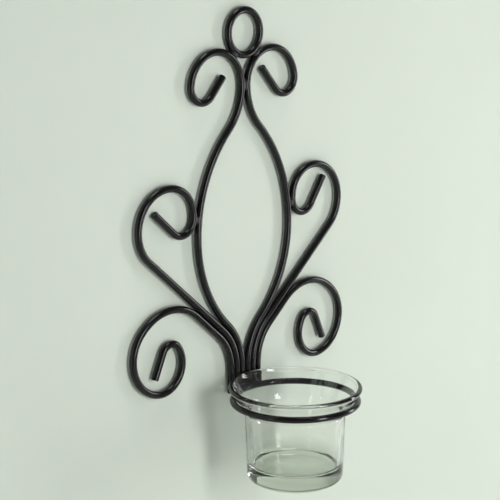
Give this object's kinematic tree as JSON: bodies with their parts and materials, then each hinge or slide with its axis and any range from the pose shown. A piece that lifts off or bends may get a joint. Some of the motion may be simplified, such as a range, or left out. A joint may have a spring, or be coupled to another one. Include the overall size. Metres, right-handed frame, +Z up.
{
  "type": "wall sconce candle holder",
  "caption": "Wall sconce of scrolled round rod, hung by a ring at the top, with a wire hoop at its foot that holds a loose, flared clear glass cup for a candle.",
  "frame": {"origin": "centre of the hanging ring, in the middle of its rod's thickness", "axes": "+X to the right along the wall as seen from the room, +Y into the wall, +Z up"},
  "size_m": [0.1711, 0.0801, 0.263],
  "materials": {
    "black_rod": "satin black paint on mild steel rod",
    "black_weld": "satin black paint over weld beads",
    "clear_glass": "clear pressed glass, faint green edge tint"
  },
  "bodies": {
    "frame": {"hanging_ring": "black_rod", "lyre_rod_left": "black_rod", "lyre_rod_right": "black_rod", "side_scroll_rod_left": "black_rod", "side_scroll_rod_right": "black_rod", "base_scroll_rod_left": "black_rod", "base_scroll_rod_right": "black_rod", "cup_hoop": "black_rod", "ring_weld_left": "black_weld", "ring_weld_right": "black_weld", "side_weld_left": "black_weld", "side_weld_right": "black_weld", "bundle_weld_inner_left": "black_weld", "bundle_weld_inner_right": "black_weld", "bundle_weld_outer_left": "black_weld", "bundle_weld_outer_right": "black_weld", "hoop_weld_left": "black_weld", "hoop_weld_right": "black_weld", "neck_weld": "black_weld", "bundle_weld_middle": "black_weld"},
    "cup": {"glass_cup": "clear_glass"}
  },
  "joints": [
    {"name": "cup_lift", "type": "slide", "parent": "frame", "child": "cup", "axis": [0, 0, 1], "range_m": [0, 0.07]}
  ]
}
